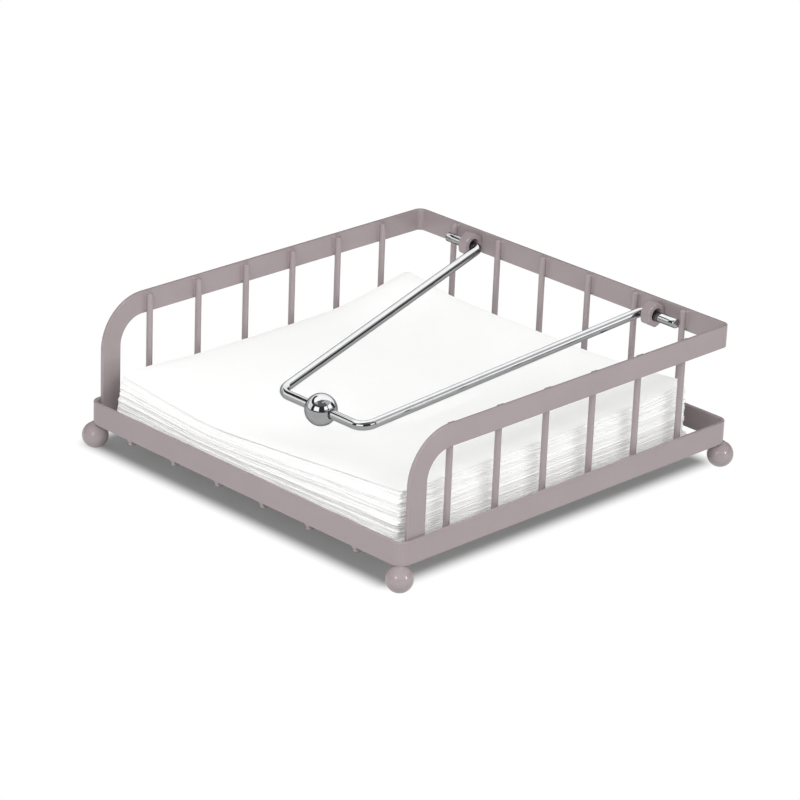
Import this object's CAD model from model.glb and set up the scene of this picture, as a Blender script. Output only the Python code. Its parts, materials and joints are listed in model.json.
"""Looks of the napkin holder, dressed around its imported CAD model.

A tray of powder-coated steel strip and wire stands on four ball feet. A chrome rod
with a ball on it swings in two nuts at the back and lies on the folded paper napkins.

Sizes are in millimetres until a mesh is made. The frame is the CAD model's: +Z is up,
the open side faces -Y, and the origin is on the table under the middle of the holder.
"""

from __future__ import annotations

import json
import logging
import math
import random
from dataclasses import dataclass
from enum import Enum
from typing import Any, NamedTuple, Sequence

import bmesh
import bpy
from mathutils import Matrix, Quaternion, Vector, noise

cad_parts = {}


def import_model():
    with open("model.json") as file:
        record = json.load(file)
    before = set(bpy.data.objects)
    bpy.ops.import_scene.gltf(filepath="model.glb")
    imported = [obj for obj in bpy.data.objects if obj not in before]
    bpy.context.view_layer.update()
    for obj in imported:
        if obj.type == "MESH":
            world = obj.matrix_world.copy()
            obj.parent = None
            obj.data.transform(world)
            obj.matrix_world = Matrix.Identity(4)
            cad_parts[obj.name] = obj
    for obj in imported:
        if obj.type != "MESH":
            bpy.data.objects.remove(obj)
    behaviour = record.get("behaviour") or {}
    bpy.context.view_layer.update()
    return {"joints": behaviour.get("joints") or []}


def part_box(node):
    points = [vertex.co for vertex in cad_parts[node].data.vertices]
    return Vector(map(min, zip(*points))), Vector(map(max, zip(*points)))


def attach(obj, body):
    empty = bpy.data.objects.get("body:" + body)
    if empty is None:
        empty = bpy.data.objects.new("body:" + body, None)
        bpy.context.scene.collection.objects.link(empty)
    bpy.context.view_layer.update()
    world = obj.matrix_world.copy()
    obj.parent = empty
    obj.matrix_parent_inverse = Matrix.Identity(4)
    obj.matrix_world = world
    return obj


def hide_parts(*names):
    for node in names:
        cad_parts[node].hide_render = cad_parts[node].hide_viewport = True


LOG = logging.getLogger("napkin_holder")
MM = 0.001
X, Y, Z = Vector((1, 0, 0)), Vector((0, 1, 0)), Vector((0, 0, 1))
QUADRANTS = ((1, 1), (-1, 1), (-1, -1), (1, -1))

Thing = bpy.types.Object
Material = bpy.types.Material
Span = tuple[float, float]
Pairs = Sequence[Span]
Ring = list[Vector]


class Body(Enum):
    """The CAD bodies that pieces ride on."""

    FRAME = "frame"
    ARM = "arm"


class Slot(Enum):
    """The material slots of the record."""

    POWDER_COAT = "powder_coat"
    CHROME = "chrome"
    NAPKIN_PAPER = "napkin_paper"


class EdgeKind(Enum):
    """How a side of a folded napkin ends: its rounding, the leaves' share of slip, and its frill."""

    FOLD = (0.09, 0.6, 0.06)
    CUT = (0.02, 1.0, 0.2)


class Role(Enum):
    """What a lamp is for."""

    SOFT = "lights the holder, and isn't mirrored"
    WINDOW = "is mirrored, and lights nothing"


class Glow(Enum):
    """How strongly a card glows."""

    DARK = 0.07
    GREY = 0.27
    PALE = 1.05
    SOFT = 1.85
    BRIGHT = 2.6


def linear(red: float, green: float, blue: float) -> tuple[float, ...]:
    """Turns a display colour of 0 to 255 into the linear one that a shader takes."""
    shares = (value / 255 for value in (red, green, blue))
    return (*(((share + 0.055) / 1.055) ** 2.4 for share in shares), 1.0)


def spread(first: float, last: float, steps: int) -> list[float]:
    """Lists numbers from the first to the last, at even steps."""
    return [first + (last - first) * step / steps for step in range(steps + 1)]


class Signal:
    """A node's output socket, with the operators of ordinary arithmetic."""

    def __init__(self, shader: Shader, socket: bpy.types.NodeSocket) -> None:
        """Keeps the socket, and the shader that it belongs to."""
        self.shader = shader
        self.socket = socket

    def _math(self, operation: str, *values: Signal | float) -> Signal:
        """Adds a Math node that works on the given values."""
        return self.shader.node("ShaderNodeMath", {"operation": operation}, dict(enumerate(values)))

    def __add__(self, other: Signal | float) -> Signal:
        """Adds a value."""
        return self._math("ADD", self, other)

    __radd__ = __add__

    def __sub__(self, other: Signal | float) -> Signal:
        """Takes a value away."""
        return self._math("SUBTRACT", self, other)

    def __rsub__(self, other: Signal | float) -> Signal:
        """Takes this value away from another."""
        return self._math("SUBTRACT", other, self)

    def __mul__(self, other: Signal | float) -> Signal:
        """Multiplies by a value."""
        return self._math("MULTIPLY", self, other)

    __rmul__ = __mul__

    def larger(self, other: Signal | float) -> Signal:
        """Keeps the larger of this value and another."""
        return self._math("MAXIMUM", self, other)

    def span(self, low: float, high: float, smooth: bool = False) -> Signal:
        """Stretches a part of this value over 0 to 1, and clips the rest.

        Args:
            low: The part's lower end.
            high: Its upper end.
            smooth: Whether the ends are eased.

        Returns:
            The stretched value.
        """
        kind = "SMOOTHSTEP" if smooth else "LINEAR"
        settings = {"clamp": True, "interpolation_type": kind}
        return self.shader.node("ShaderNodeMapRange", settings, {0: self, 1: low, 2: high})


class Shader:
    """The node tree of a material or a world, and the one way to add a node to it."""

    def __init__(self, owner: Material | bpy.types.World) -> None:
        """Empties a node tree and keeps it.

        Args:
            owner: The material or world whose tree it is.
        """
        owner.use_nodes = True
        self.owner = owner
        self.tree = owner.node_tree
        self.tree.nodes.clear()

    def node(
        self,
        kind: str,
        settings: dict[str, Any] | None = None,
        inputs: dict[int | str, Any] | None = None,
        out: int | str = 0,
    ) -> Signal:
        """Adds a node, sets it up and fills its sockets.

        Args:
            kind: The node's type, such as ShaderNodeTexNoise.
            settings: The node's own settings.
            inputs: Socket number or name to a value, or to the Signal that feeds it.
            out: The output that is handed back.

        Returns:
            That output as a Signal.
        """
        made = self.tree.nodes.new(kind)
        for name, value in (settings or {}).items():
            setattr(made, name, value)
        for name, value in (inputs or {}).items():
            if isinstance(value, Signal):
                self.tree.links.new(value.socket, made.inputs[name])
            else:
                made.inputs[name].default_value = value
        return Signal(self, made.outputs[out] if made.outputs else None)

    def place(self) -> Signal:
        """Hands back the point's place on the object, which is its place in the frame, in metres."""
        return self.node("ShaderNodeTexCoord", out="Object")

    def grain(self, scale: float, detail: float = 2.0, stretch: Vector | None = None) -> Signal:
        """Adds noise from 0 to 1.

        Args:
            scale: Cycles in a metre.
            detail: Octaves of finer noise.
            stretch: Scales along X, Y and Z before the noise is read.

        Returns:
            The noise's value.
        """
        where = self.place()
        if stretch is not None:
            where = self.vector("MULTIPLY", where, stretch)
        return self.node("ShaderNodeTexNoise", None, {"Vector": where, "Scale": scale, "Detail": detail})

    def vector(self, operation: str, *values: Any) -> Signal:
        """Adds a Vector Math node that works on the given values."""
        out = "Value" if operation == "LENGTH" else "Vector"
        return self.node("ShaderNodeVectorMath", {"operation": operation}, dict(enumerate(values)), out)

    def mix(self, share: Signal | float, first: Any, second: Any) -> Signal:
        """Blends two colours, by the share of the second."""
        return self.node("ShaderNodeMix", {"data_type": "RGBA"}, {0: share, 6: first, 7: second}, out=2)

    def bump(self, height: Signal, depth: float) -> Signal:
        """Turns a height from 0 to 1 into the normal of a relief, whose depth is in millimetres."""
        return self.node("ShaderNodeBump", None, {"Strength": 1.0, "Distance": depth * MM, "Height": height})

    def glow(self, strength: Signal | float) -> Signal:
        """Adds a white glow."""
        return self.node("ShaderNodeEmission", None, {"Color": (1, 1, 1, 1), "Strength": strength})

    def finish(self, surface: Signal) -> Material:
        """Ends a material's tree with its shader, and hands the material back."""
        self.node("ShaderNodeOutputMaterial", None, {"Surface": surface})
        return self.owner

    def surface(self, **sockets: Any) -> Material:
        """Ends the tree with a Principled shader, whose sockets are named with _ for a blank."""
        inputs = {name.replace("_", " "): value for name, value in sockets.items()}
        return self.finish(self.node("ShaderNodeBsdfPrincipled", None, inputs))


@dataclass(frozen=True)
class PowderCoat:
    """Satin taupe powder coat: an even colour with a fine orange peel."""

    colour: tuple[float, ...] = linear(157, 145.5, 147.5)
    shade: tuple[float, ...] = linear(152, 140.5, 142.5)
    roughness: float = 0.25
    roughness_play: float = 0.16
    mottle_scale: float = 45.0
    peel_scale: float = 900.0
    peel_depth: float = 0.028
    grit_scale: float = 3200.0

    def material(self) -> Material:
        """Makes the material.

        Returns:
            The powder coat's material.
        """
        shader = Shader(bpy.data.materials.new("taupe_powder_coat"))
        mottle = shader.grain(self.mottle_scale, 3.0)
        grit = shader.grain(self.grit_scale, 2.0)
        peel = shader.grain(self.peel_scale, 2.0)
        share = mottle.span(0.35, 0.65) * 0.7 + grit.span(0.4, 0.7) * 0.3
        return shader.surface(
            Base_Color=shader.mix(share, self.colour, self.shade),
            Roughness=self.roughness + (grit - 0.5) * self.roughness_play,
            Normal=shader.bump(peel * 0.8 + grit * 0.2, self.peel_depth),
        )


@dataclass(frozen=True)
class Chrome:
    """Polished chrome plate with the faint haze that handling leaves."""

    colour: tuple[float, ...] = (0.365, 0.368, 0.373, 1.0)
    haze_colour: tuple[float, ...] = (0.33, 0.333, 0.338, 1.0)
    edge_tint: tuple[float, ...] = (0.3, 0.3, 0.3, 1.0)
    roughness: float = 0.045
    haze: float = 0.07
    haze_scale: float = 160.0

    def material(self) -> Material:
        """Makes the material.

        Returns:
            The chrome's material.
        """
        shader = Shader(bpy.data.materials.new("polished_chrome"))
        smudge = shader.grain(self.haze_scale, 4.0).span(0.5, 0.8)
        return shader.surface(
            Base_Color=shader.mix(smudge, self.colour, self.haze_colour),
            Metallic=1.0,
            Roughness=self.roughness + smudge * self.haze,
            Specular_Tint=self.edge_tint,
        )


@dataclass(frozen=True)
class NapkinPaper:
    """Soft white tissue with an embossed grain and short fibres."""

    colour: tuple[float, ...] = (0.955, 0.955, 0.95, 1.0)
    shade: tuple[float, ...] = (0.93, 0.93, 0.925, 1.0)
    roughness: float = 0.92
    dot_scale: float = 700.0
    fibre_scale: float = 1500.0
    cloud_scale: float = 60.0
    relief: float = 0.045
    dot_shine: float = 0.06
    sheen: float = 0.12
    specular: float = 0.25

    def material(self) -> Material:
        """Makes the material.

        Returns:
            The paper's material.
        """
        shader = Shader(bpy.data.materials.new("napkin_tissue"))
        inputs = {"Vector": shader.place(), "Scale": self.dot_scale}
        dots = shader.node("ShaderNodeTexVoronoi", None, inputs).span(0.1, 0.6)
        fibres = shader.grain(self.fibre_scale, 3.0, Vector((1, 0.35, 1)))
        cloud = shader.grain(self.cloud_scale, 2.0).span(0.35, 0.7)
        share = cloud * 0.6 + fibres.span(0.45, 0.75) * 0.4
        return shader.surface(
            Base_Color=shader.mix(share, self.colour, self.shade),
            Roughness=self.roughness - dots * self.dot_shine,
            Normal=shader.bump(dots * 0.55 + fibres * 0.45, self.relief),
            Sheen_Weight=self.sheen,
            Specular_IOR_Level=self.specular,
        )


@dataclass(frozen=True)
class Station:
    """A place along a route, with the directions that a section is drawn in."""

    point: Vector
    heading: Vector
    up: Vector

    @property
    def side(self) -> Vector:
        """Hands back the direction square to the heading and to up."""
        return self.heading.cross(self.up)

    def ring(self, section: Pairs, ahead: float = 0.0) -> Ring:
        """Draws a section of distances along up and side, at some way ahead of this place."""
        origin = self.point + self.heading * ahead
        return [origin + self.up * u + self.side * v for u, v in section]


class Route:
    """A path of straight runs and round bends, whose directions turn with it."""

    def __init__(self, start: Vector, heading: Vector, up: Vector) -> None:
        """Starts the path at a point, with a heading and an up that is square to it."""
        self.stations = [Station(start, heading, up)]

    @property
    def end(self) -> Station:
        """Hands back the last station."""
        return self.stations[-1]

    def rings(self, section: Pairs) -> list[Ring]:
        """Draws a section at each station."""
        return [station.ring(section) for station in self.stations]

    def straight(self, length: float, steps: int = 1) -> Route:
        """Runs straight on.

        Args:
            length: The run's length.
            steps: How many stations it adds.

        Returns:
            This route.
        """
        start = self.end
        for done in spread(0, length, steps)[1:]:
            self.stations.append(Station(start.point + start.heading * done, start.heading, start.up))
        return self

    def bend(self, radius: float, angle: float, towards: Vector, steps: int = 10) -> Route:
        """Turns on an arc.

        Args:
            radius: The arc's radius.
            angle: How far it turns, in degrees.
            towards: The direction that the path bends to, square to the heading.
            steps: How many stations it adds.

        Returns:
            This route.
        """
        start = self.end
        centre = start.point + towards * radius
        axis = start.heading.cross(towards)
        for turned in spread(0, math.radians(angle), steps)[1:]:
            turn = Quaternion(axis, turned)
            point = centre + turn @ (start.point - centre)
            self.stations.append(Station(point, turn @ start.heading, turn @ start.up))
        return self


def circle(radius: float, count: int) -> list[Span]:
    """Lists as many points as given, round a circle."""
    turns = (2 * math.pi * index / count for index in range(count))
    return [(radius * math.cos(turn), radius * math.sin(turn)) for turn in turns]


def strip_section(width: float, thickness: float, edge: float, inset: float = 0.0) -> list[Span]:
    """Draws the section of a flat strip with rounded edges.

    Args:
        width: The strip's width, along up.
        thickness: Its thickness, along side.
        edge: The radius of its edges.
        inset: How far the whole outline is drawn in.

    Returns:
        The outline's points.
    """
    half_w, half_t = width / 2 - edge, thickness / 2 - edge
    radius = edge - inset
    points = []
    for number, (su, sv) in enumerate(QUADRANTS):
        for share in spread(0, 1, 4):
            turn = math.radians(90) * (number + share)
            points.append((su * half_w + radius * math.cos(turn), sv * half_t + radius * math.sin(turn)))
    return points


class Skin:
    """The points and faces of one mesh, gathered from closed skins."""

    def __init__(self) -> None:
        """Starts with no points."""
        self.points: Ring = []
        self.faces: list[list[int]] = []

    def loft(self, rings: Sequence[Sequence[Vector]], closed: bool = False) -> None:
        """Skins a row of rings with four-sided faces.

        Args:
            rings: The rings, all with as many points.
            closed: Whether the last ring joins the first. Otherwise both ends get a cap.
        """
        base, count = len(self.points), len(rings[0])
        for ring in rings:
            self.points.extend(ring)
        for row in range(len(rings) if closed else len(rings) - 1):
            near, far = base + row * count, base + (row + 1) % len(rings) * count
            for index in range(count):
                after = (index + 1) % count
                self.faces.append([near + index, near + after, far + after, far + index])
        if not closed:
            self.faces.append(list(range(base + count - 1, base - 1, -1)))
            last = base + (len(rings) - 1) * count
            self.faces.append(list(range(last, last + count)))

    def rod(self, route: Route, radius: float, tips: Span, count: int = 24) -> None:
        """Skins a round rod with rounded ends.

        Args:
            route: The rod's centre line, over its whole length.
            radius: The rod's radius.
            tips: The length of the rounding at its start and at its end.
            count: How many points go round the rod.
        """
        turns = spread(0, math.radians(84), 5)

        def tip_ring(station: Station, tip: float, turn: float) -> Ring:
            """Draws a ring of a rounded end."""
            return station.ring(circle(radius * math.cos(turn), count), tip * (1 - math.sin(turn)))

        self.loft([
            *(tip_ring(route.stations[0], tips[0], turn) for turn in reversed(turns)),
            *(station.ring(circle(radius, count)) for station in route.stations[2:-2]),
            *(tip_ring(route.end, -tips[1], turn) for turn in turns),
        ])

    def lathe(self, centre: Vector, axis: Vector, profile: Pairs, count: int, closed: bool = False) -> None:
        """Turns a profile round an axis.

        Args:
            centre: The point that the profile's lengths are measured from.
            axis: The axis's direction.
            profile: Pairs of radius and length along the axis.
            count: How many points go round.
            closed: Whether the profile closes on itself, as round a bore.
        """
        station = Station(centre, axis, axis.orthogonal().normalized())
        self.loft([station.ring(circle(radius, count), along) for radius, along in profile], closed)

    def piece(self, name: str, sharp: float = 40.0, weighted: bool = False) -> Thing:
        """Makes the object, in metres.

        Args:
            name: The object's name.
            sharp: The angle, in degrees, over which an edge stays sharp.
            weighted: Whether large faces rule the shading, which keeps them flat beside round edges.

        Returns:
            The new object.
        """
        mesh = bpy.data.meshes.new(name)
        mesh.from_pydata([point * MM for point in self.points], [], self.faces)
        cleaned = bmesh.new()
        cleaned.from_mesh(mesh)
        bmesh.ops.recalc_face_normals(cleaned, faces=cleaned.faces)
        cleaned.to_mesh(mesh)
        cleaned.free()
        mesh.polygons.foreach_set("use_smooth", [True] * len(mesh.polygons))
        mesh.set_sharp_from_angle(angle=math.radians(sharp))
        made = put_in_scene(name, mesh)
        if weighted:
            made.modifiers.new("flat_faces", "WEIGHTED_NORMAL").keep_sharp = True
        return made


def put_in_scene(name: str, data: bpy.types.ID) -> Thing:
    """Makes an object and puts it in the scene.

    Args:
        name: The object's name.
        data: Its mesh, lamp or camera.

    Returns:
        The object.
    """
    made = bpy.data.objects.new(name, data)
    bpy.context.scene.collection.objects.link(made)
    return made


class Box(NamedTuple):
    """The lowest and highest corners and the middle of a CAD node, in millimetres."""

    low: Vector
    high: Vector
    middle: Vector


def node_box(node: str) -> Box:
    """Reads a CAD node's box."""
    low, high = (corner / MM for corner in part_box(node))
    return Box(low, high, (low + high) / 2)


@dataclass
class SubAssembly:
    """Pieces that share a material, a CAD body and a material slot."""

    material: Material
    body: Body = Body.FRAME
    slot: Slot = Slot.POWDER_COAT

    def dress(self, piece: Thing, *nodes: str) -> Thing:
        """Gives a piece its material and joins it to the frame.

        Args:
            piece: The new piece.
            *nodes: The CAD nodes that it stands for.

        Returns:
            The piece.
        """
        piece.data.materials.append(self.material)
        if nodes:
            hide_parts(*nodes)
        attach(piece, self.body.value)
        LOG.info("%s: %d faces, rides on %s", piece.name, len(piece.data.polygons), self.body.value)
        return piece


@dataclass
class Tray(SubAssembly):
    """The band of flat strip round the tray, and the ball under each of its corners."""

    strip_t: float = 1.6
    corner_r: float = 5.0
    edge_r: float = 0.4
    foot_d: float = 11.5
    foot_flat_r: float = 1.5
    foot_rings: int = 26
    foot_points: int = 48
    # The rings of the flat under the foot: the middle one's radius, and the outer one's share of it
    pole_r: float = 0.02
    flat_share: float = 0.8
    weld_r: float = 2.1
    weld_top: float = 0.3
    # The weld's neck, as shares of its height and of its radius
    weld_neck: Pairs = ((0.3, 0.84), (0.6, 0.78), (0.85, 0.8), (1.0, 0.7))

    def build(self) -> None:
        """Builds the band and its feet."""
        self.build_band()
        for node in ("foot_front_left", "foot_front_right", "foot_back_left", "foot_back_right"):
            self.build_foot(node)

    def build_band(self) -> None:
        """Sweeps the strip round the tray, with rounded edges and corners."""
        low, high, middle = node_box("tray_band")
        width, depth, height = high - low
        run_x, run_y = width - 2 * self.corner_r, depth - 2 * self.corner_r
        route = Route(Vector((-run_x / 2, low.y + self.strip_t / 2, middle.z)), X, Z)
        for run in (run_x, run_y, run_x, run_y):
            route.straight(run, 8)
            route.bend(self.corner_r - self.strip_t / 2, 90, -route.end.side)
        route.stations.pop()
        skin = Skin()
        skin.loft(route.rings(strip_section(height, self.strip_t, self.edge_r)), closed=True)
        self.dress(skin.piece("band_painted", weighted=True), "tray_band")

    def build_foot(self, node: str) -> None:
        """Turns a ball with a flat underneath and the weld that holds it to the band.

        Args:
            node: The CAD node of this foot.
        """
        low, high, middle = node_box(node)
        radius = self.foot_d / 2
        ball_z = math.sqrt(radius**2 - self.foot_flat_r**2)
        first = math.asin(self.foot_flat_r / radius)
        last = math.pi - math.asin(self.weld_r / radius)
        profile = [(self.pole_r, 0.0), (self.foot_flat_r * self.flat_share, 0.0)]
        for turn in spread(first, last, self.foot_rings):
            profile.append((radius * math.sin(turn), ball_z - radius * math.cos(turn)))
        neck_z = profile[-1][1]
        rise = high.z + self.weld_top - neck_z
        profile.extend((self.weld_r * waist, neck_z + rise * share) for share, waist in self.weld_neck)
        skin = Skin()
        skin.lathe(Vector((middle.x, middle.y, low.z)), Z, profile, self.foot_points)
        self.dress(skin.piece(f"{node}_painted", sharp=50), node)


@dataclass
class Rail(SubAssembly):
    """The strip that rises from the tray's front corners and runs round its top."""

    strip_w: float = 10.0
    strip_t: float = 1.6
    edge_r: float = 0.4
    bend_r: float = 22.0
    corner_r: float = 4.0
    # The rounding of a leg's end, in degrees from its very end
    end_turns: tuple[float, ...] = (80, 55, 28)

    def build(self) -> None:
        """Sweeps the strip up the left leg, round the tray and down the right leg."""
        low, high, _ = node_box("top_rail")
        leg_x = high.x - self.strip_t / 2
        rise = high.z - self.bend_r - low.z - self.edge_r
        side_run = high.y - self.corner_r - low.y - self.bend_r
        back_run = 2 * (high.x - self.corner_r)
        edgewise, flatwise = self.bend_r - self.strip_w / 2, self.corner_r - self.strip_t / 2
        route = Route(Vector((-leg_x, low.y + self.strip_w / 2, low.z + self.edge_r)), Z, -Y)
        route.straight(rise, 2).bend(edgewise, 90, Y, 24).straight(side_run, 8)
        route.bend(flatwise, 90, X).straight(back_run, 8).bend(flatwise, 90, -Y)
        route.straight(side_run, 8).bend(edgewise, 90, -Z, 24).straight(rise, 2)
        rings = route.rings(strip_section(self.strip_w, self.strip_t, self.edge_r))
        skin = Skin()
        skin.loft([*self.leg_end(route.stations[0], -1), *rings, *reversed(self.leg_end(route.end, 1))])
        self.dress(skin.piece("rail_painted", weighted=True), "top_rail")

    def leg_end(self, station: Station, way: int) -> list[Ring]:
        """Rounds the end of a leg.

        Args:
            station: The last full section of the leg.
            way: Which way along its heading the end lies, -1 or 1.

        Returns:
            The rings from the very end to the full section.
        """
        rings = []
        for turn in map(math.radians, self.end_turns):
            inset = self.edge_r * (1 - math.cos(turn))
            section = strip_section(self.strip_w, self.strip_t, self.edge_r, inset)
            rings.append(station.ring(section, way * self.edge_r * math.sin(turn)))
        return rings


@dataclass
class WireBasket(SubAssembly):
    """The wires of the tray, and the welds that hold them together."""

    wire_d: float = 2.8
    bend_r: float = 4.0
    tip: float = 0.7
    front_tip: float = 2.2
    cross_wires: tuple[str, ...] = tuple(f"cross_wire_{number}" for number in range(1, 7))
    long_wires: tuple[str, ...] = tuple(f"long_wire_{number}" for number in range(1, 7))
    weld_r: float = 0.55
    weld_sink: float = 0.06
    # The size of a weld along its length, plain and spreading out towards its end
    plain_weld: Pairs = (
        (0.0, 0.25), (0.04, 0.6), (0.12, 0.9), (0.5, 1.0), (0.88, 0.9), (0.96, 0.6), (1.0, 0.25)
    )
    flared_weld: Pairs = (
        (0.0, 0.25), (0.04, 0.6), (0.12, 0.9), (0.5, 1.0), (0.76, 1.05),
        (0.84, 1.25), (0.9, 1.6), (0.95, 1.9), (0.985, 1.85), (1.0, 1.4),
    )
    rail_strip_w: float = 10.0
    rail_weld_inset: float = 0.5
    # How far inside the band's front or back edge a weld starts, and its length
    front_weld: Span = (0.2, 1.3)
    back_weld: Span = (2.6, 1.0)
    nugget_r: float = 1.35
    nugget_h: float = 0.5
    nugget_rings: int = 12
    nugget_points: int = 18

    def build(self) -> None:
        """Builds the wires first, and then their welds."""
        for node in (*self.cross_wires, *self.long_wires):
            self.build_wire(node)
        self.build_rail_welds()
        self.build_floor_welds()

    def build_wire(self, node: str) -> None:
        """Bends a wire up one side, across the tray and up the other, or under the band and up the back.

        Args:
            node: The CAD node of this wire.
        """
        low, high, middle = node_box(node)
        radius = self.wire_d / 2
        corner = radius + self.bend_r
        rise = high.z - low.z - corner - self.tip
        if node in self.cross_wires:
            first_tip = self.tip
            route = Route(Vector((low.x + radius, middle.y, high.z)), -Z, Y)
            route.straight(first_tip).straight(rise, 3).bend(self.bend_r, 90, X, 12)
            route.straight(high.x - low.x - 2 * corner, 10)
        else:
            first_tip = self.front_tip
            route = Route(Vector((middle.x, low.y, low.z + radius)), Y, X)
            route.straight(first_tip).straight(high.y - low.y - corner - first_tip, 10)
        route.bend(self.bend_r, 90, Z, 12).straight(rise, 3).straight(self.tip)
        skin = Skin()
        skin.rod(route, radius, (first_tip, self.tip))
        self.dress(skin.piece(f"{node}_painted"), node)

    def fillet(self, skin: Skin, start: Station, length: float, flared: bool = False) -> None:
        """Fills both corners between a wire and the flat face that it touches.

        Args:
            skin: The skin that the weld is added to.
            start: Where the wire and the face start to touch, with up from the face to the wire's middle.
            length: The weld's length.
            flared: Whether the weld spreads out towards its end.
        """
        wire_r = self.wire_d / 2
        rings = []
        for share, size in self.flared_weld if flared else self.plain_weld:
            weld_r = self.weld_r * size
            reach = 2 * math.sqrt(wire_r * weld_r)
            last = math.atan2(reach, wire_r - weld_r)
            left = [(-self.weld_sink, reach)]
            for turn in spread(math.pi, 2 * math.pi - last, 4):
                left.append((weld_r + weld_r * math.cos(turn), reach + weld_r * math.sin(turn)))
            right = [(u, -v) for u, v in reversed(left)]
            rings.append(start.ring([*left, *right], length * share))
        skin.loft(rings)

    def build_rail_welds(self) -> None:
        """Welds each wire's upright to the inner face of the rail."""
        low_z = node_box("top_rail").high.z - self.rail_strip_w + self.rail_weld_inset
        length = self.rail_strip_w - 2 * self.rail_weld_inset
        skin = Skin()
        for low, high, middle in map(node_box, self.cross_wires):
            for x, inward in ((high.x, -X), (low.x, X)):
                start = Station(Vector((x, middle.y, low_z)), Z, inward)
                self.fillet(skin, start, length, flared=True)
        for _, high, middle in map(node_box, self.long_wires):
            start = Station(Vector((middle.x, high.y, low_z)), Z, -Y)
            self.fillet(skin, start, length, flared=True)
        self.dress(skin.piece("rail_welds", sharp=50))

    def build_floor_welds(self) -> None:
        """Welds the wires where they cross, and under the band."""
        band = node_box("tray_band")
        under_band = (
            (band.low.y + self.front_weld[0], self.front_weld[1]),
            (band.high.y - self.back_weld[0], self.back_weld[1]),
        )
        turns = spread(math.radians(4), math.radians(176), self.nugget_rings)
        profile = [(self.nugget_r * math.sin(turn), -self.nugget_h * math.cos(turn)) for turn in turns]
        skin = Skin()
        for x in (node_box(node).middle.x for node in self.long_wires):
            for low, _, middle in map(node_box, self.cross_wires):
                skin.lathe(Vector((x, middle.y, low.z)), Z, profile, self.nugget_points)
            for y, length in under_band:
                self.fillet(skin, Station(Vector((x, y, band.low.z)), Y, -Z), length)
        self.dress(skin.piece("floor_welds", sharp=50))


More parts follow.
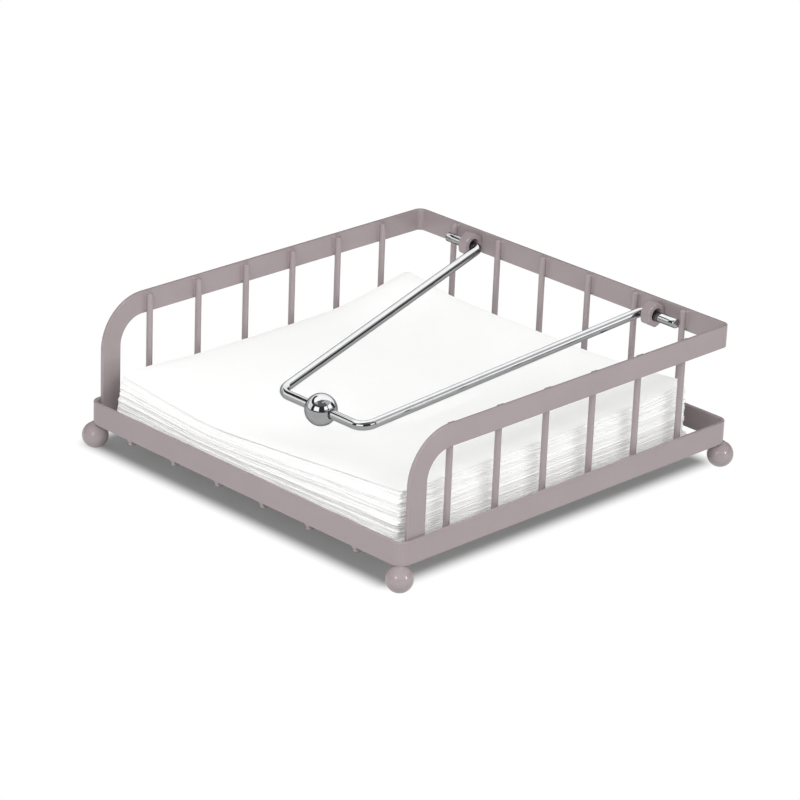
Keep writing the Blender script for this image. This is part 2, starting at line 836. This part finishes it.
@dataclass
class PivotNuts(SubAssembly):
    """The two hex nuts that the arm's pins turn in, and their welds."""

    play: float = 1.2
    pin_d: float = 4.2
    chamfer: float = 1.0
    chamfer_shares: tuple[float, ...] = (0.05, 0.5, 0.94)
    shoulder: float = 0.9
    face_step: float = 0.2
    mouth: float = 0.4
    thread_pitch: float = 1.0
    thread_depth: float = 0.28
    thread_steps: int = 8
    corner_cut: float = 0.955
    half_side: float = math.radians(30)
    points: int = 72
    weld_drop: float = 1.75
    weld_reach: float = 2.3
    weld_sink: float = 0.1
    weld_sag: float = 0.105
    weld_curve: float = 1.6
    weld_lip: float = 0.12
    # How far the weld's section runs into the rail and into the nut
    weld_bite: Span = (0.5, 0.3)
    # How far the weld runs on past each end of the nut, and its size along its length
    weld_ends: Span = (0.9, 1.5)
    weld_sizes: Pairs = (
        (0.0, 0.3), (0.08, 0.62), (0.2, 0.88), (0.4, 1.0), (0.6, 1.0), (0.8, 0.86), (0.92, 0.58), (1.0, 0.25)
    )

    def build(self) -> None:
        """Builds the nut and the weld on each side."""
        for node in ("pivot_nut_left", "pivot_nut_right"):
            self.build_nut(node)

    def build_nut(self, node: str) -> None:
        """Builds one nut with its thread, and the weld below it.

        Args:
            node: The CAD node of this nut.
        """
        low, high, centre = node_box(node)
        half, flat_r = (high.x - low.x) / 2, (high.y - low.y) / 2
        point_r = flat_r / math.cos(self.half_side)
        end_r, bore_r = point_r - self.chamfer, (self.pin_d + self.play) / 2
        spokes = []
        for index in range(self.points):
            turn = 2 * math.pi * index / self.points
            side_r = flat_r / math.cos(turn % (2 * self.half_side) - self.half_side)
            corner = min(side_r, point_r * self.corner_cut) - end_r
            spokes.append((turn, Z * math.cos(turn) + Y * math.sin(turn), corner))

        def ring(along: float, radius: float, share: float = 0, lean: float = 0, groove: float = 0) -> Ring:
            """Draws a ring of the nut.

            Args:
                along: How far it lies along the axis from the nut's middle.
                radius: Its radius.
                share: Its share of the hexagon's corners.
                lean: How far a corner lies back along the axis, for its way out.
                groove: The depth of the thread in it.

            Returns:
                The ring.
            """
            phase = 2 * math.pi * along / self.thread_pitch
            points = []
            for turn, spoke, corner in spokes:
                out = share * corner
                threaded = groove * (0.5 + 0.5 * math.cos(phase + turn))
                points.append(centre + X * (along - lean * out) + spoke * (radius + out + threaded))
            return points

        def end(way: int) -> list[Ring]:
            """Draws one end of the nut.

            Args:
                way: Which end, -1 for the left one or 1 for the right one.

            Returns:
                The rings from the bore out to the corners.
            """
            cone = way * math.tan(self.half_side)
            return [
                ring(way * half, bore_r + self.mouth),
                ring(way * half, end_r - self.face_step),
                *(ring(way * half, end_r, share, cone) for share in self.chamfer_shares),
                ring(way * (half - self.shoulder), end_r, 1),
            ]

        bore_half = half - self.mouth
        steps = round(2 * bore_half / self.thread_pitch * self.thread_steps)
        along_bore = spread(bore_half, -bore_half, steps)
        thread = (ring(along, bore_r, groove=self.thread_depth) for along in along_bore)
        skin = Skin()
        skin.loft([*end(-1), *reversed(end(1)), *thread], closed=True)
        self.dress(skin.piece(f"{node}_painted", sharp=28), node)
        self.build_weld(f"{node}_weld", centre, half, flat_r)

    def build_weld(self, name: str, centre: Vector, half: float, flat_r: float) -> None:
        """Fills the corner between a nut's lower flat and the rail.

        Args:
            name: The weld's name.
            centre: The nut's centre.
            half: Half the nut's length.
            flat_r: The distance from the nut's axis to a flat.
        """
        slope = math.tan(self.half_side)
        corner_z = -flat_r * slope
        left, right = self.weld_ends
        rings = []
        for share, size in self.weld_sizes:
            x = -half - left + (2 * half + left + right) * share
            low_z, reach = corner_z - self.weld_drop * size, self.weld_reach * size
            near_z = corner_z - reach * slope
            rise = near_z - self.weld_lip * size - low_z
            rail_y = flat_r + self.weld_sink
            section = [(rail_y, corner_z + self.weld_bite[0] * size), (rail_y, low_z)]
            for part in spread(0, 1, 5):
                sag = self.weld_sag * size * math.sin(math.pi * part)
                section.append((flat_r - reach * part, low_z + rise * part**self.weld_curve + sag))
            section.append((flat_r - reach + self.weld_sink, near_z + self.weld_bite[1] * size))
            rings.append([centre + Vector((x, y, z)) for y, z in section])
        skin = Skin()
        skin.loft(rings)
        self.dress(skin.piece(name, sharp=60))


@dataclass
class SwingArm(SubAssembly):
    """The chrome rod whose ends turn in the nuts, and the ball on its front bar."""

    body: Body = Body.ARM
    slot: Slot = Slot.CHROME
    rod_d: float = 4.2
    bar_w: float = 39.4
    front_bend_r: float = 6.5
    back_bend_r: float = 3.6
    side_play: float = 0.3
    pin_tip: float = 0.45
    rod_points: int = 40
    ball_d: float = 14.0
    ball_rings: int = 64
    ball_points: int = 96
    bore_gap: float = 0.02
    lip: float = 0.35
    # The lip's outline, as shares of it out from the bore and along it
    lip_shape: Pairs = ((0.45, 0.12), (0.0, -0.25))

    def build(self, pivot: Vector) -> list[Thing]:
        """Builds the rod, which swings on an axis through the pivot, and the ball, and hands back both."""
        ball = node_box("weight_ball").middle
        return [self.build_rod(pivot, ball), self.build_ball(ball)]

    def build_rod(self, pivot: Vector, ball: Vector) -> Thing:
        """Bends the rod from pin to pin, round its front bar.

        Args:
            pivot: A point on the axis that the arm swings on.
            ball: The ball's centre, in the middle of the front bar.

        Returns:
            The rod.
        """
        forward = (ball - pivot).normalized()
        reach = (ball - pivot).length
        pin_end = node_box("arm_rod").high.x
        pin_start = node_box("pivot_nut_right").low.x - self.side_play
        bend_sum = self.front_bend_r + self.back_bend_r
        bend_dx, bend_dy = pin_start - self.bar_w / 2, reach - bend_sum
        side = math.sqrt(bend_dx**2 + bend_dy**2 - bend_sum**2)
        splay = math.atan2(bend_dx, bend_dy) - math.atan2(bend_sum, side)
        turn = 90 - math.degrees(splay)
        pin = pin_end - pin_start
        route = Route(Vector((-pin_end, pivot.y, pivot.z)), X, X.cross(forward))
        route.straight(self.pin_tip).straight(pin - self.pin_tip, 4)
        route.bend(self.back_bend_r, turn, forward, 20).straight(side, 12)
        route.bend(self.front_bend_r, turn, route.end.side, 24).straight(self.bar_w, 6)
        route.bend(self.front_bend_r, turn, -forward, 24).straight(side, 12)
        route.bend(self.back_bend_r, turn, -route.end.side, 20)
        route.straight(pin - self.pin_tip, 4).straight(self.pin_tip)
        skin = Skin()
        skin.rod(route, self.rod_d / 2, (self.pin_tip, self.pin_tip), self.rod_points)
        return self.dress(skin.piece("arm_rod_chrome"), "arm_rod")

    def build_ball(self, centre: Vector) -> Thing:
        """Turns the ball, with a small lip where the rod enters it.

        Args:
            centre: The ball's centre.

        Returns:
            The ball.
        """
        radius, bore_r = self.ball_d / 2, self.rod_d / 2 + self.bore_gap
        first = math.asin((bore_r + self.lip) / radius)
        turns = spread(first, math.pi - first, self.ball_rings)
        profile = [(radius * math.sin(turn), -radius * math.cos(turn)) for turn in turns]
        end = profile[-1][1]
        lip = [(bore_r + self.lip * out, end + self.lip * along) for out, along in self.lip_shape]
        mirrored = [(ring_r, -along) for ring_r, along in reversed(lip)]
        skin = Skin()
        skin.lathe(centre, X, [*profile, *lip, *mirrored], self.ball_points, closed=True)
        return self.dress(skin.piece("ball_chrome", sharp=60), "weight_ball")


@dataclass
class NapkinStack(SubAssembly):
    """The folded napkins: thin packets that follow the sag of the stack under the ball."""

    slot: Slot = Slot.NAPKIN_PAPER
    size: float = 172.0
    low: float = 15.35
    dent: float = 0.95
    dent_reach: float = 24.0
    rise_right: float = 9.0
    rise_left: float = 3.5
    rise_back: float = 7.8
    flat: float = 14.0
    valley_x: float = -27.0
    valley_slopes: Span = (0.07, 0.085)
    valley_round: float = 8.0
    valley_reach: Span = (-90.5, -58.0)
    # Height, X, Y, and reach along X and Y of each corner that curls up
    curls: tuple[tuple[float, ...], ...] = ((3.4, -86, 75, 22, 30), (1.5, -86, -75, 20, 18))
    droop: float = 0.45
    droop_reach: float = 1.8
    swell: float = 0.25
    swell_length: float = 46.0
    calm_reach: float = 60.0
    wave: float = 0.5
    wave_length: float = 50.0
    corner_r: float = 2.4
    count: int = 20
    leaves: int = 2
    shift: float = 0.35
    lowest_slides: tuple[tuple[float, ...], ...] = ((-0.3, 2.6, 0), (-0.3, 1.7, 0))
    low_slide: tuple[float, ...] = (-0.3, -0.5, 0)
    low_share: float = 0.62
    low_fade: float = 2.2
    twist: float = 0.16
    leaf_slip: float = 0.4
    taper: float = 1.7
    taper_start: float = 0.35
    top_set_backs: tuple[float, ...] = (1.0, 0.6, 0.2)
    gaps: tuple[float, ...] = (0.12, 0.2, 0.2, 0.35, 0.7)
    gap_share: float = 0.75
    leaf_gap: float = 0.13
    top_step: float = 0.35
    ripple: float = 0.3
    ripple_length: float = 15.0
    frill_length: float = 3.0
    column_step: float = 2.5
    # The sizes of the rings across a napkin's faces, and across the top one's upper face
    face_scales: tuple[float, ...] = (0.3, 0.6, 0.85, 0.96)
    top_scales: tuple[float, ...] = (0.985, 0.965, 0.94, *spread(0.9, 0.045, 19))
    slack: float = 0.012
    seed: int = 11
    sides: tuple[EdgeKind, ...] = (EdgeKind.CUT, EdgeKind.CUT, EdgeKind.FOLD, EdgeKind.FOLD)

    def build(self, ball_y: float) -> None:
        """Builds the napkins from the bottom one up.

        Args:
            ball_y: Where the ball rests, along Y.
        """
        stack = node_box("napkin_stack")
        self.bottom = stack.low.z
        self.middle = Vector((0, stack.middle.y, 0))
        self.ball_y = ball_y
        self.low_y = ball_y + self.flat
        self.chance = random.Random(self.seed)
        self.outline = self.draw_outline()
        for index in range(self.count):
            self.build_napkin(index)

    def side_rise(self, x: float, y: float) -> float:
        """Gives how much the stack thickens towards its left and right edges.

        Args:
            x: The place along X.
            y: The place along Y.

        Returns:
            The extra thickness there.
        """
        middle = (self.rise_right if x > 0 else self.rise_left) * abs(2 * x / self.size) ** 1.5
        off = x - self.valley_x
        slope = self.valley_slopes[1 if off > 0 else 0]
        front = slope * (math.hypot(off, self.valley_round) - self.valley_round)
        start, stop = self.valley_reach
        part = min(1.0, max(0.0, (y - start) / (stop - start)))
        blend = part * part * (3 - 2 * part)
        return front * (1 - blend) + middle * blend

    def height(self, x: float, y: float) -> float:
        """Gives the stack's thickness at a place.

        Args:
            x: The place along X.
            y: The place along Y.

        Returns:
            The thickness there.
        """
        half = self.size / 2
        back_run = self.middle.y + half - self.low_y
        back = self.rise_back * (max(0.0, y - self.low_y) / back_run) ** 4
        curl = 0.0
        for amount, at_x, at_y, wide, deep in self.curls:
            curl += amount * math.exp(-(((x - at_x) / wide) ** 2) - ((y - at_y) / deep) ** 2)
        edge = max(0.0, min(half - abs(x), half - abs(y - self.middle.y)))
        droop = self.droop * math.exp(-edge / self.droop_reach)
        calm = min(1.0, math.hypot(x, y - self.low_y) / self.calm_reach)
        swell = self.swell * noise.noise(Vector((x / self.swell_length, y / self.swell_length, 3.7))) * calm
        dent = self.dent * math.exp(-((x**2 + (y - self.ball_y) ** 2) / self.dent_reach**2))
        return self.low + math.hypot(self.side_rise(x, y), back) + curl - droop + swell - dent

    def seam(self, level: int, x: float, y: float) -> float:
        """Gives the height of the seam under a napkin.

        Args:
            level: The napkin's number, or the count for the stack's top.
            x: The place along X.
            y: The place along Y.

        Returns:
            The seam's height.
        """
        share = level / self.count
        loose = self.wave * math.sin(math.pi * share)
        wave = noise.noise(Vector((x / self.wave_length, y / self.wave_length, 9.1 * level))) * loose
        return self.bottom + share * self.height(x, y) + wave

    def draw_outline(self) -> list[tuple[Vector, Vector, EdgeKind, float]]:
        """Lists the places round a napkin.

        Returns:
            Each place's point, outward direction, kind of edge and distance along the outline.
        """
        inner = self.size / 2 - self.corner_r
        straight = 2 * inner
        quarter = self.corner_r * math.radians(90)
        places = []
        for number, (sx, sy) in enumerate(QUADRANTS):
            run = number * (quarter + straight)
            before, after = self.sides[number], self.sides[(number + 1) % 4]
            for share in spread(0, 1, 5):
                turn = math.radians(90) * (number + share)
                out = Vector((math.cos(turn), math.sin(turn), 0))
                start = Vector((sx * inner, sy * inner, 0)) + out * self.corner_r
                places.append((start, out, before if share < 0.5 else after, run + quarter * share))
            for done in spread(0, straight, math.ceil(straight / self.column_step))[1:-1]:
                places.append((start + Z.cross(out) * done, out, after, run + quarter + done))
        return places

    def slide(self, index: int) -> Vector:
        """Draws how far a napkin lies from the middle of the stack.

        Args:
            index: The napkin's number from the bottom.

        Returns:
            The shift along X and Y.
        """
        shift = Vector((self.chance.uniform(-1, 1), self.chance.uniform(-1, 1), 0)) * self.shift
        if index < len(self.lowest_slides):
            return shift + Vector(self.lowest_slides[index])
        lowness = max(0.0, 1 - index / (self.low_share * self.count))
        return shift + Vector(self.low_slide) * min(1.0, lowness * self.low_fade)

    def build_napkin(self, index: int) -> None:
        """Builds one napkin as a closed packet of leaves.

        Args:
            index: The napkin's number from the bottom.
        """
        chance = self.chance
        slide = self.slide(index)
        twist = Matrix.Rotation(math.radians(chance.uniform(-self.twist, self.twist)), 4, "Z")
        slips = {kind: [chance.uniform(0, self.leaf_slip) for _ in range(self.leaves)] for kind in EdgeKind}
        from_top = self.count - 1 - index
        set_back = self.taper * max(0.0, index / (self.count - 1) - self.taper_start)
        if from_top < len(self.top_set_backs):
            set_back += self.top_set_backs[from_top]
        gap = chance.choice(self.gaps)
        gap_inset = gap * self.gap_share

        def lay(points: Sequence[Vector], share: float) -> Ring:
            """Puts points of the flat napkin in the stack.

            Args:
                points: The points.
                share: Their height, as a share of the napkin's thickness.

            Returns:
                The points in the stack.
            """
            laid = []
            for point in points:
                x, y, _ = self.middle + slide + twist @ point
                floor, roof = self.seam(index, x, y) + self.slack, self.seam(index + 1, x, y) - self.slack
                laid.append(Vector((x, y, floor + (roof - floor) * share)))
            return laid

        def scaled(scales: Sequence[float], share: float) -> list[Ring]:
            """Draws rings across the napkin's lower or upper face."""
            return [lay([place[0] * scale for place in self.outline], share) for scale in scales]

        rings = []
        for leaf in range(self.leaves):
            low_inset = gap_inset if leaf == 0 else self.leaf_gap
            high_inset = gap_inset if leaf == self.leaves - 1 else self.leaf_gap
            # A ring's share of the leaf's thickness, how far it is drawn in, and whether it is rounded
            for through, drawn_in, is_round in (
                (0.02, low_inset, 0), (0.16, 0.0, 1), (0.5, 0.0, 0), (0.84, 0.0, 1), (0.98, high_inset, 0)
            ):
                edge = []
                for point, out, kind, run in self.outline:
                    rounding, slip, frill = kind.value
                    ripple = noise.noise(Vector((run / self.ripple_length, leaf * 3.3, index * 5.7)))
                    fray = noise.noise(Vector((run / self.frill_length, leaf * 7.1, index * 2.9)))
                    inset = set_back + drawn_in + is_round * rounding + slip * slips[kind][leaf]
                    inset += self.ripple * ripple + frill * fray
                    edge.append(point - out * inset)
                rings.append(lay(edge, (leaf + through) / self.leaves))
        top_inset = set_back + gap_inset + self.top_step
        rings.append(lay([place[0] - place[1] * top_inset for place in self.outline], 1.0))
        step = 1 if from_top < 2 else 2
        under, over = self.face_scales[::step], self.face_scales[::-step]
        if from_top == 0:
            over = self.top_scales
        skin = Skin()
        skin.loft([*scaled(under, 0.0), *rings, *scaled(over, 1.0)])
        nodes = ["napkin_stack"] if index == 0 else []
        self.dress(skin.piece(f"napkin_{index + 1:02d}", sharp=75), *nodes)


def towards(azimuth: float, elevation: float) -> Vector:
    """Gives the direction at degrees round from the front to the right, and above the horizon."""
    raised = Quaternion(X, math.radians(-elevation)) @ -Y
    return Quaternion(Z, math.radians(azimuth)) @ raised


def linked(name: str, pieces: Sequence[Thing], state: str) -> bpy.types.Collection:
    """Gathers pieces for the light linking of a lamp or card.

    Args:
        name: The collection's name.
        pieces: The pieces that are named.
        state: INCLUDE where it works on them alone, and EXCLUDE where it works on all but them.

    Returns:
        The collection.
    """
    gathered = bpy.data.collections.new(name)
    for number, piece in enumerate(pieces):
        gathered.objects.link(piece)
        gathered.collection_objects[number].light_linking.link_state = state
    return gathered


@dataclass(frozen=True)
class Lamp:
    """An area lamp that faces the holder, in degrees, metres and watts."""

    name: str
    role: Role
    azimuth: float
    elevation: float
    distance: float
    size: Span
    power: float
    aim_height: float = 0.03

    def hang(self, floor: Thing, mirrors: Sequence[Thing]) -> None:
        """Hangs the lamp.

        Args:
            floor: The floor, which no lamp lights.
            mirrors: The chrome pieces. Windows don't light them, and no lamp throws their thin shadows.
        """
        is_window = self.role is Role.WINDOW
        data = bpy.data.lights.new(self.name, "AREA")
        data.shape = "RECTANGLE"
        data.size, data.size_y = self.size
        data.energy = self.power
        made = put_in_scene(self.name, data)
        away = towards(self.azimuth, self.elevation)
        made.location = away * self.distance + Z * self.aim_height
        made.rotation_euler = away.to_track_quat("Z", "Y").to_euler()
        made.visible_diffuse = not is_window
        made.visible_glossy = is_window
        skipped = [floor, *mirrors] if is_window else [floor]
        made.light_linking.receiver_collection = linked(f"{self.name}_skips", skipped, "EXCLUDE")
        made.light_linking.blocker_collection = linked(f"{self.name}_passes", mirrors, "EXCLUDE")


@dataclass(frozen=True)
class Card:
    """A curved card that glows and that only the chrome mirrors, in degrees and metres."""

    name: str
    glow: Glow
    distance: float
    azimuths: Span
    elevations: Span

    def stand(self, material: Material, mirrors: Sequence[Thing]) -> None:
        """Stands the card round the holder.

        Args:
            material: The material that glows.
            mirrors: The pieces that see it.
        """
        columns, rows = spread(*self.azimuths, 20), spread(*self.elevations, 10)
        points = [towards(azimuth, elevation) * self.distance for elevation in rows for azimuth in columns]
        wide = len(columns)
        starts = [row * wide + column for row in range(len(rows) - 1) for column in range(wide - 1)]
        mesh = bpy.data.meshes.new(self.name)
        mesh.from_pydata(points, [], [(near, near + 1, near + wide + 1, near + wide) for near in starts])
        mesh.materials.append(material)
        made = put_in_scene(self.name, mesh)
        made.visible_camera = made.visible_diffuse = False
        made.visible_shadow = made.visible_transmission = False
        made.light_linking.receiver_collection = linked(f"{self.name}_lights", mirrors, "INCLUDE")


@dataclass(frozen=True)
class Studio:
    """The floor, the lamps, the cards that the chrome mirrors, and the camera."""

    azimuth: float = 44.653
    elevation: float = 22.736
    roll: float = 2.329
    distance: float = 1529.03
    target: tuple[float, float, float] = (-3.095, -3.013, 25.793)
    focal_pixels: float = 3585.94
    frame_pixels: float = 800.0
    sensor: float = 36.0
    ambient: float = 0.3
    floor_half: float = 6.0
    floor_drop: float = 0.00005
    floor_grey: float = 0.5
    floor_bounce: float = 0.8
    shade_x: Span = (-94.3, 82.6)
    shade_y: Span = (-92.6, 91.0)
    shade_soft: float = 11.0
    shade_lift: float = 0.12
    lamps: tuple[Lamp, ...] = (
        Lamp("overhead_lamp", Role.SOFT, 0, 88, 1.2, (1.1, 1.1), 3.35),
        Lamp("front_lamp", Role.SOFT, 17, 38, 0.95, (1.1, 0.45), 6.5),
        Lamp("right_lamp", Role.SOFT, 94, 30, 0.95, (1.1, 0.7), 4.9),
        Lamp("front_window", Role.WINDOW, 17, 23, 0.85, (0.12, 0.12), 1.1),
        Lamp("right_window", Role.WINDOW, 98, 20, 0.85, (0.12, 0.14), 1.4),
    )
    cards: tuple[Card, ...] = (
        Card("grey_dome", Glow.GREY, 1.9, (-27, 136), (1.5, 89)),
        Card("dark_band", Glow.DARK, 1.85, (-27, 103), (1.5, 44)),
        Card("right_strip", Glow.PALE, 1.8, (104, 160), (42, 74)),
        Card("top_patch", Glow.PALE, 1.8, (55, 104), (66, 77)),
        Card("left_patch", Glow.PALE, 1.8, (-27, 2), (50, 62)),
        Card("front_spot", Glow.BRIGHT, 1.8, (-6, 30), (9, 36)),
        Card("right_spot", Glow.BRIGHT, 1.8, (70, 96), (10, 40)),
        Card("right_streak", Glow.BRIGHT, 1.8, (103, 138), (5, 40)),
        Card("left_wall", Glow.SOFT, 2.0, (-112, -30), (3, 34)),
        Card("left_wall_top", Glow.BRIGHT, 2.0, (-112, -30), (49, 85)),
        Card("left_gap", Glow.DARK, 2.1, (-115, -29), (32, 51)),
        Card("back_wall", Glow.BRIGHT, 2.0, (-200, -112), (4, 85)),
        Card("back_right_gap", Glow.DARK, 1.79, (138, 165), (0, 32)),
        Card("skirt", Glow.DARK, 2.2, (-200, -26), (-1, 4)),
    )

    def build(self, mirrors: Sequence[Thing]) -> None:
        """Builds the whole studio round the holder.

        Args:
            mirrors: The holder's chrome pieces.
        """
        floor = self.build_floor()
        self.build_world()
        for lamp in self.lamps:
            lamp.hang(floor, mirrors)
        shaders = {glow: Shader(bpy.data.materials.new(f"{glow.name.lower()}_card")) for glow in Glow}
        glowing = {glow: shader.finish(shader.glow(glow.value)) for glow, shader in shaders.items()}
        for card in self.cards:
            card.stand(glowing[card.glow], mirrors)
        self.build_camera()

    @staticmethod
    def by_ray(shader: Shader, seen: float, unseen: float) -> Signal:
        """Gives a strength that depends on the ray.

        Args:
            shader: The shader that the nodes are added to.
            seen: The strength for rays from the camera, also mirrored or through something.
            unseen: The strength for the rays that light the holder.

        Returns:
            The strength.
        """
        kinds = ("Is Camera Ray", "Is Glossy Ray", "Is Transmission Ray")
        camera, glossy, through = (shader.node("ShaderNodeLightPath", out=kind) for kind in kinds)
        return camera.larger(glossy).larger(through) * (seen - unseen) + unseen

    def build_floor(self) -> Thing:
        """Lays a white floor that is shaded under the holder and plain white further out.

        Returns:
            The floor.
        """
        shader = Shader(bpy.data.materials.new("studio_floor"))
        (left, right), (front, back) = self.shade_x, self.shade_y
        middle = ((left + right) / 2 * MM, (front + back) / 2 * MM, 0)
        half_box = ((right - left) / 2 * MM, (back - front) / 2 * MM, 1)
        off = shader.vector("ABSOLUTE", shader.vector("SUBTRACT", shader.place(), middle))
        beyond = shader.vector("MAXIMUM", shader.vector("SUBTRACT", off, half_box), (0, 0, 0))
        share = shader.vector("LENGTH", beyond).span(0, self.shade_soft * MM, smooth=True)
        matt = shader.node("ShaderNodeBsdfDiffuse", None, {"Color": (*[self.floor_grey] * 3, 1)})
        lift = shader.glow(self.by_ray(shader, self.shade_lift, 0.0))
        shaded = shader.node("ShaderNodeAddShader", None, {0: matt, 1: lift})
        white = shader.glow(self.by_ray(shader, 1.0, self.floor_bounce))
        mixed = shader.node("ShaderNodeMixShader", None, {0: share, 1: shaded, 2: white})
        mesh = bpy.data.meshes.new("studio_floor")
        half = self.floor_half
        places = [(sx * half, sy * half, -self.floor_drop) for sx, sy in QUADRANTS]
        mesh.from_pydata(places, [], [(0, 1, 2, 3)])
        mesh.materials.append(shader.finish(mixed))
        floor = put_in_scene("studio_floor", mesh)
        return floor

    def build_world(self) -> None:
        """Sets a white background, and the lower level at which it lights the holder."""
        world = bpy.data.worlds.new("studio_world")
        bpy.context.scene.world = world
        shader = Shader(world)
        inputs = {"Color": (1, 1, 1, 1), "Strength": self.by_ray(shader, 1.0, self.ambient)}
        light = shader.node("ShaderNodeBackground", None, inputs)
        shader.node("ShaderNodeOutputWorld", None, {"Surface": light})

    def build_camera(self) -> None:
        """Puts the camera at the photograph's angle and distance."""
        back = towards(self.azimuth, self.elevation)
        right = Z.cross(back).normalized()
        roll = Quaternion(back, math.radians(self.roll))
        data = bpy.data.cameras.new("studio_camera")
        data.sensor_width = self.sensor
        data.lens = self.focal_pixels * self.sensor / self.frame_pixels
        data.clip_start, data.clip_end = 0.05, 50
        camera = put_in_scene("studio_camera", data)
        place = (Vector(self.target) + back * self.distance) * MM
        turn = Matrix((roll @ right, roll @ back.cross(right), back)).transposed().to_4x4()
        camera.matrix_world = Matrix.Translation(place) @ turn
        bpy.context.scene.camera = camera


def main() -> None:
    """Loads the frame, builds the sub-assemblies round it and notes the model's size."""
    logging.basicConfig(level=logging.INFO, format="%(name)s: %(message)s")
    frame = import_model()
    bpy.context.scene.view_settings.view_transform = "Standard"

    coat = PowderCoat().material()
    chrome = Chrome().material()
    paper = NapkinPaper().material()
    Tray(coat).build()
    Rail(coat).build()
    WireBasket(coat).build()
    PivotNuts(coat).build()
    hinge = next(joint for joint in frame["joints"] if joint["name"] == "arm_swing")
    arm = SwingArm(chrome)
    mirrors = arm.build(Vector(hinge["pos_m"]) / MM)
    NapkinStack(paper).build(node_box("weight_ball").middle.y)
    Studio().build(mirrors)


if __name__ == "__main__":
    main()
